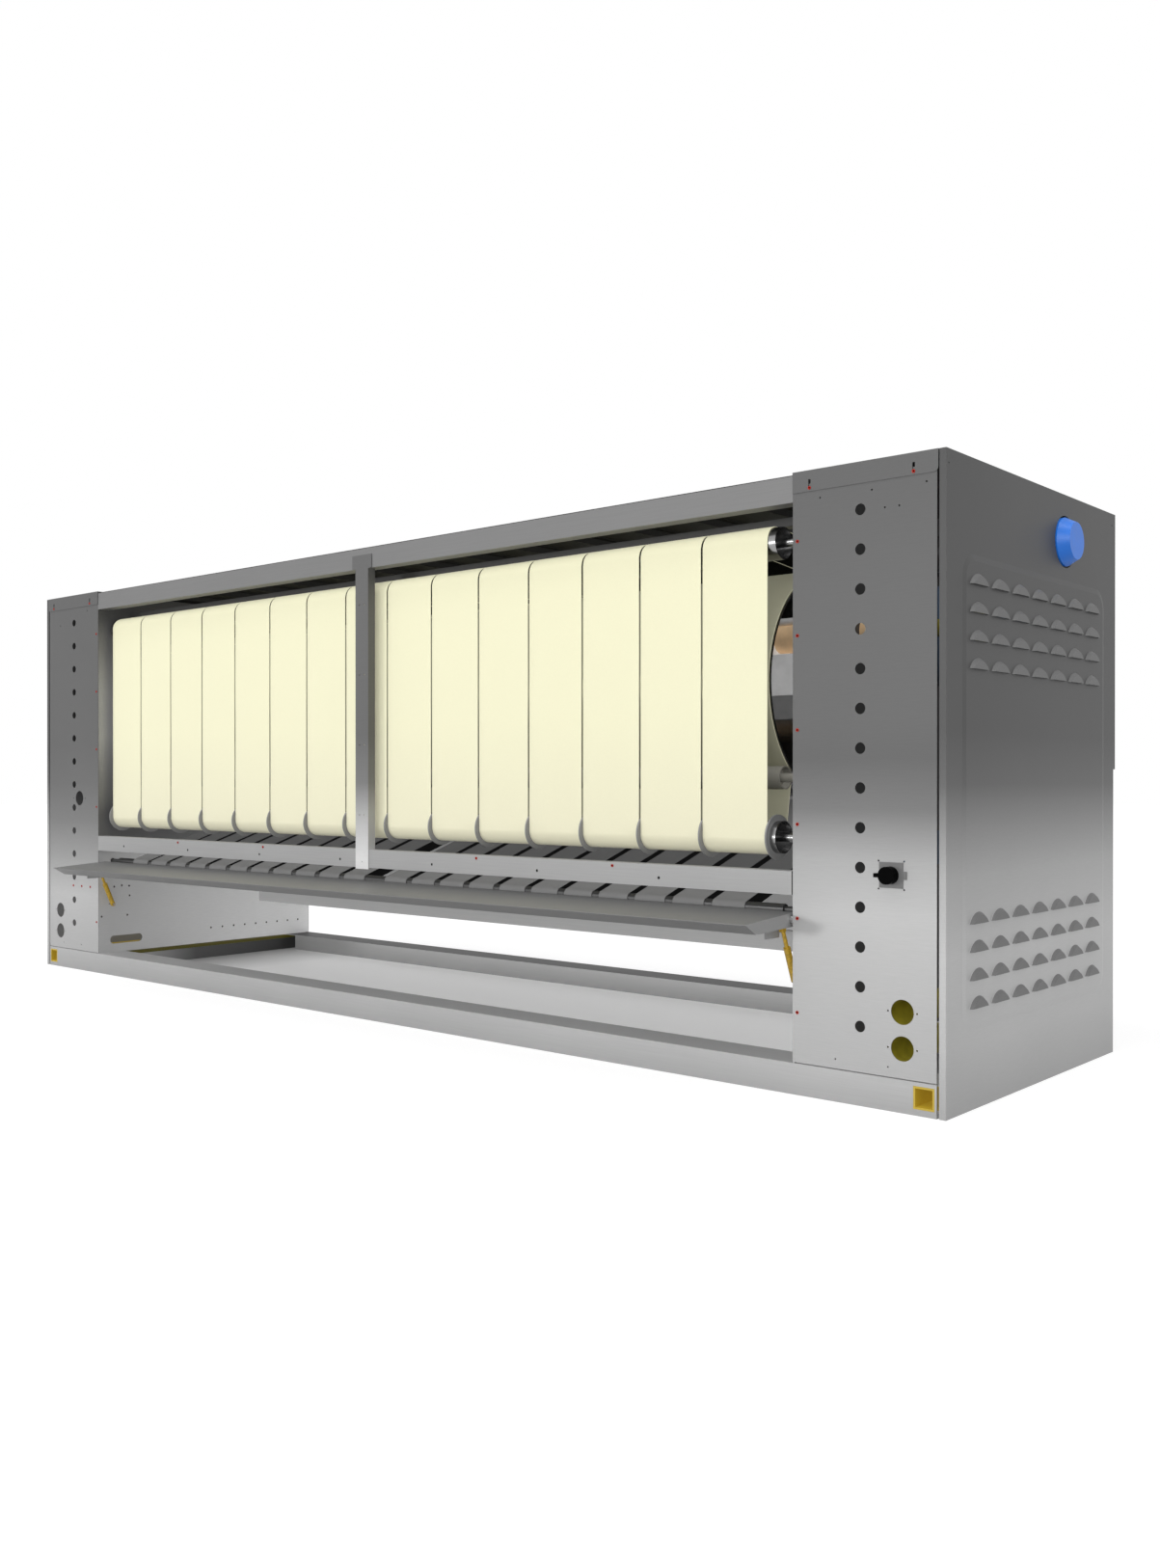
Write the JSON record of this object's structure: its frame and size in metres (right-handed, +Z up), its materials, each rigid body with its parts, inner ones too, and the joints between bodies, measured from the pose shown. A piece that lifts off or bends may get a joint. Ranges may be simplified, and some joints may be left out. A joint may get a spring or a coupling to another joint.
{
  "type": "flatwork ironer",
  "caption": "Long flatwork ironer with a heated drum pressed by side-by-side cream felt belts, delivery tapes and a folding catch shelf, between two stainless steel cabinets",
  "frame": {"origin": "on the floor, under the middle of the body between the two end cabinets", "axes": "+X along the machine to its right end seen from the delivery side, +Y from the delivery side to the feeding side, +Z up"},
  "size_m": [4.3445, 1.524, 1.62],
  "materials": {
    "stainless_panel": "fine straight grain, satin",
    "frame_steel": "folded sheet, satin",
    "pan_steel": "pale satin sheet",
    "yellow_paint": "semi-gloss paint",
    "belt_felt": "pale cream needled felt, seams at the edges",
    "tape_cloth": "grey woven webbing",
    "feed_cloth": "off-white woven webbing",
    "polished_drum": "ground and polished",
    "roller_steel": "turned",
    "guide_ring_plastic": "smooth",
    "cast_bearing": "as cast, dark",
    "burner_tan": "dull heat-proof coating",
    "grey_pipe": "dull",
    "carriage_grey": "dull",
    "dark_steel": "dull",
    "blue_plastic": "moulded",
    "red_collar": "semi-gloss",
    "black_plastic": "moulded",
    "switch_plate_grey": "moulded",
    "chain_steel": "oiled",
    "motor_grey": "semi-gloss",
    "shelf_steel": "satin sheet",
    "green_plastic": "moulded",
    "red_plastic": "moulded",
    "console_grey": "fine texture"
  },
  "bodies": {
    "frame": {"base_frame": "frame_steel", "base_pan": "pan_steel", "lifting_tubes": "yellow_paint", "frame_top_beams": "frame_steel", "ribbed_roof_panel": "dark_steel", "front_crossbeam": "frame_steel", "front_apron": "shelf_steel", "centre_post": "frame_steel", "right_end_wall": "stainless_panel", "left_end_wall": "stainless_panel", "burner_end_plates": "stainless_panel", "roller_bearings": "cast_bearing", "carrier_axles": "roller_steel", "burner_tube": "burner_tan", "gas_manifold": "grey_pipe", "burner_carriage": "carriage_grey", "heat_baffle": "dark_steel", "ironing_belts": "belt_felt", "delivery_tapes": "tape_cloth", "hinge_pins_and_bushes": "roller_steel", "feed_tapes": "feed_cloth", "feed_table_and_arms": "shelf_steel", "feeding_side_panels": "stainless_panel", "right_side_panel": "stainless_panel", "left_side_panel": "stainless_panel", "right_front_panel": "stainless_panel", "left_front_panel": "stainless_panel", "cabinet_top_caps": "stainless_panel", "panel_rivet_nuts": "red_collar", "exhaust_fan_and_motor": "motor_grey", "exhaust_duct": "roller_steel", "exhaust_blanking_cap": "blue_plastic", "drive_chain": "chain_steel", "main_gearmotor": "motor_grey", "tape_gearmotors": "motor_grey", "gas_line": "yellow_paint", "main_switch_body": "switch_plate_grey", "control_console": "console_grey"},
    "front_carrier_rollers": {"front_carrier_rollers": "roller_steel"},
    "rear_carrier_rollers": {"rear_carrier_rollers": "roller_steel"},
    "drum": {"drum_shell": "polished_drum"},
    "upper_press_roller": {"upper_press_roller": "roller_steel"},
    "feed_press_roller": {"feed_press_roller": "roller_steel"},
    "lower_press_roller": {"lower_press_roller": "roller_steel", "belt_guide_rings": "guide_ring_plastic"},
    "exit_roller": {"exit_roller": "roller_steel"},
    "delivery_front_roller": {"delivery_front_roller": "roller_steel"},
    "delivery_rear_roller": {"delivery_rear_roller": "roller_steel"},
    "catch_shelf": {"catch_shelf": "shelf_steel"},
    "gas_spring_bodies": {"gas_spring_bodies": "yellow_paint"},
    "gas_spring_rods": {"gas_spring_rods": "yellow_paint"},
    "feed_inner_roller": {"feed_inner_roller": "roller_steel"},
    "feed_outer_roller": {"feed_outer_roller": "roller_steel"},
    "feed_finger_guard": {"feed_finger_guard": "stainless_panel"},
    "exhaust_fan_wheel": {"exhaust_fan_wheel": "roller_steel"},
    "motor_sprocket": {"motor_sprocket": "chain_steel"},
    "switch_knob": {"main_switch_knob": "black_plastic"},
    "start_button": {"start_button": "green_plastic"},
    "stop_button": {"stop_button": "black_plastic"},
    "emergency_stop_button": {"emergency_stop_button": "red_plastic"}
  },
  "joints": [
    {"name": "drum_turn", "type": "hinge", "parent": "frame", "child": "drum", "pos_m": [0, -0.171, 1.09], "axis": [1, 0, 0], "continuous": true},
    {"name": "front_carrier_turn", "type": "hinge", "parent": "frame", "child": "front_carrier_rollers", "pos_m": [0, -0.29856, 1.3299], "axis": [1, 0, 0], "continuous": true},
    {"name": "rear_carrier_turn", "type": "hinge", "parent": "frame", "child": "rear_carrier_rollers", "pos_m": [0, -0.04344, 1.3299], "axis": [1, 0, 0], "continuous": true},
    {"name": "upper_press_turn", "type": "hinge", "parent": "frame", "child": "upper_press_roller", "pos_m": [0, -0.461, 1.46], "axis": [1, 0, 0], "continuous": true},
    {"name": "feed_press_turn", "type": "hinge", "parent": "frame", "child": "feed_press_roller", "pos_m": [0, 0.179, 1.4], "axis": [1, 0, 0], "continuous": true},
    {"name": "lower_press_turn", "type": "hinge", "parent": "frame", "child": "lower_press_roller", "pos_m": [0, -0.461, 0.665], "axis": [1, 0, 0], "continuous": true},
    {"name": "exit_roller_turn", "type": "hinge", "parent": "frame", "child": "exit_roller", "pos_m": [0, -0.42129, 0.82625], "axis": [1, 0, 0], "continuous": true},
    {"name": "motor_sprocket_turn", "type": "hinge", "parent": "frame", "child": "motor_sprocket", "pos_m": [0, -0.226, 0.42], "axis": [1, 0, 0], "continuous": true},
    {"name": "feed_inner_turn", "type": "hinge", "parent": "frame", "child": "feed_inner_roller", "pos_m": [0, 0.13399, 1.322], "axis": [1, 0, 0], "continuous": true},
    {"name": "feed_outer_turn", "type": "hinge", "parent": "frame", "child": "feed_outer_roller", "pos_m": [0, 0.7291, 1.085], "axis": [1, 0, 0], "continuous": true},
    {"name": "delivery_rear_turn", "type": "hinge", "parent": "frame", "child": "delivery_rear_roller", "pos_m": [0, -0.036, 0.628], "axis": [1, 0, 0], "continuous": true},
    {"name": "delivery_front_turn", "type": "hinge", "parent": "frame", "child": "delivery_front_roller", "pos_m": [0, -0.488, 0.4746], "axis": [1, 0, 0], "continuous": true},
    {"name": "fan_turn", "type": "hinge", "parent": "frame", "child": "exhaust_fan_wheel", "pos_m": [0, 0.182, 1.248], "axis": [1, 0, 0], "continuous": true},
    {"name": "switch_turn", "type": "hinge", "parent": "frame", "child": "switch_knob", "pos_m": [2.0042, -0.556, 0.5846], "axis": [0, 1, 0], "range_deg": [0, 90]},
    {"name": "shelf_lift", "type": "hinge", "parent": "frame", "child": "catch_shelf", "pos_m": [0, -0.548, 0.455], "axis": [-1, 0, 0], "range_deg": [0, 55]},
    {"name": "gas_spring_swing", "type": "hinge", "parent": "frame", "child": "gas_spring_bodies", "pos_m": [0, -0.504, 0.29], "axis": [1, 0, 0], "range_deg": [0, 1.94]},
    {"name": "gas_spring_reach", "type": "slide", "parent": "gas_spring_bodies", "child": "gas_spring_rods", "axis": [0, -0.3875, 0.9219], "range_m": [0, 0.0276]},
    {"name": "finger_guard_swing", "type": "hinge", "parent": "frame", "child": "feed_finger_guard", "pos_m": [0, 0.294, 1.5], "axis": [-1, 0, 0], "range_deg": [0, 15]},
    {"name": "start_button_press", "type": "slide", "parent": "frame", "child": "start_button", "axis": [0, -1, 0], "range_m": [0, 0.004], "stiffness_N_per_m": 400},
    {"name": "stop_button_press", "type": "slide", "parent": "frame", "child": "stop_button", "axis": [0, -1, 0], "range_m": [0, 0.004], "stiffness_N_per_m": 400},
    {"name": "emergency_stop_button_press", "type": "slide", "parent": "frame", "child": "emergency_stop_button", "axis": [0, -1, 0], "range_m": [0, 0.004], "stiffness_N_per_m": 400}
  ],
  "couplings": [
    {"joint": "front_carrier_turn", "follows": "drum_turn", "ratio": 6.44},
    {"joint": "rear_carrier_turn", "follows": "drum_turn", "ratio": 6.44},
    {"joint": "upper_press_turn", "follows": "drum_turn", "ratio": -7.1641},
    {"joint": "feed_press_turn", "follows": "drum_turn", "ratio": -7.1641},
    {"joint": "lower_press_turn", "follows": "drum_turn", "ratio": -7.1641},
    {"joint": "exit_roller_turn", "follows": "drum_turn", "ratio": -9.8227},
    {"joint": "motor_sprocket_turn", "follows": "drum_turn", "ratio": -12.643},
    {"joint": "feed_inner_turn", "follows": "drum_turn", "ratio": 10.596},
    {"joint": "feed_outer_turn", "follows": "drum_turn", "ratio": 10.596},
    {"joint": "delivery_front_turn", "follows": "delivery_rear_turn", "ratio": 1},
    {"joint": "gas_spring_swing", "follows": "shelf_lift", "ratio": 0.03516},
    {"joint": "gas_spring_reach", "follows": "shelf_lift", "m_per_rad": 0.02869}
  ]
}
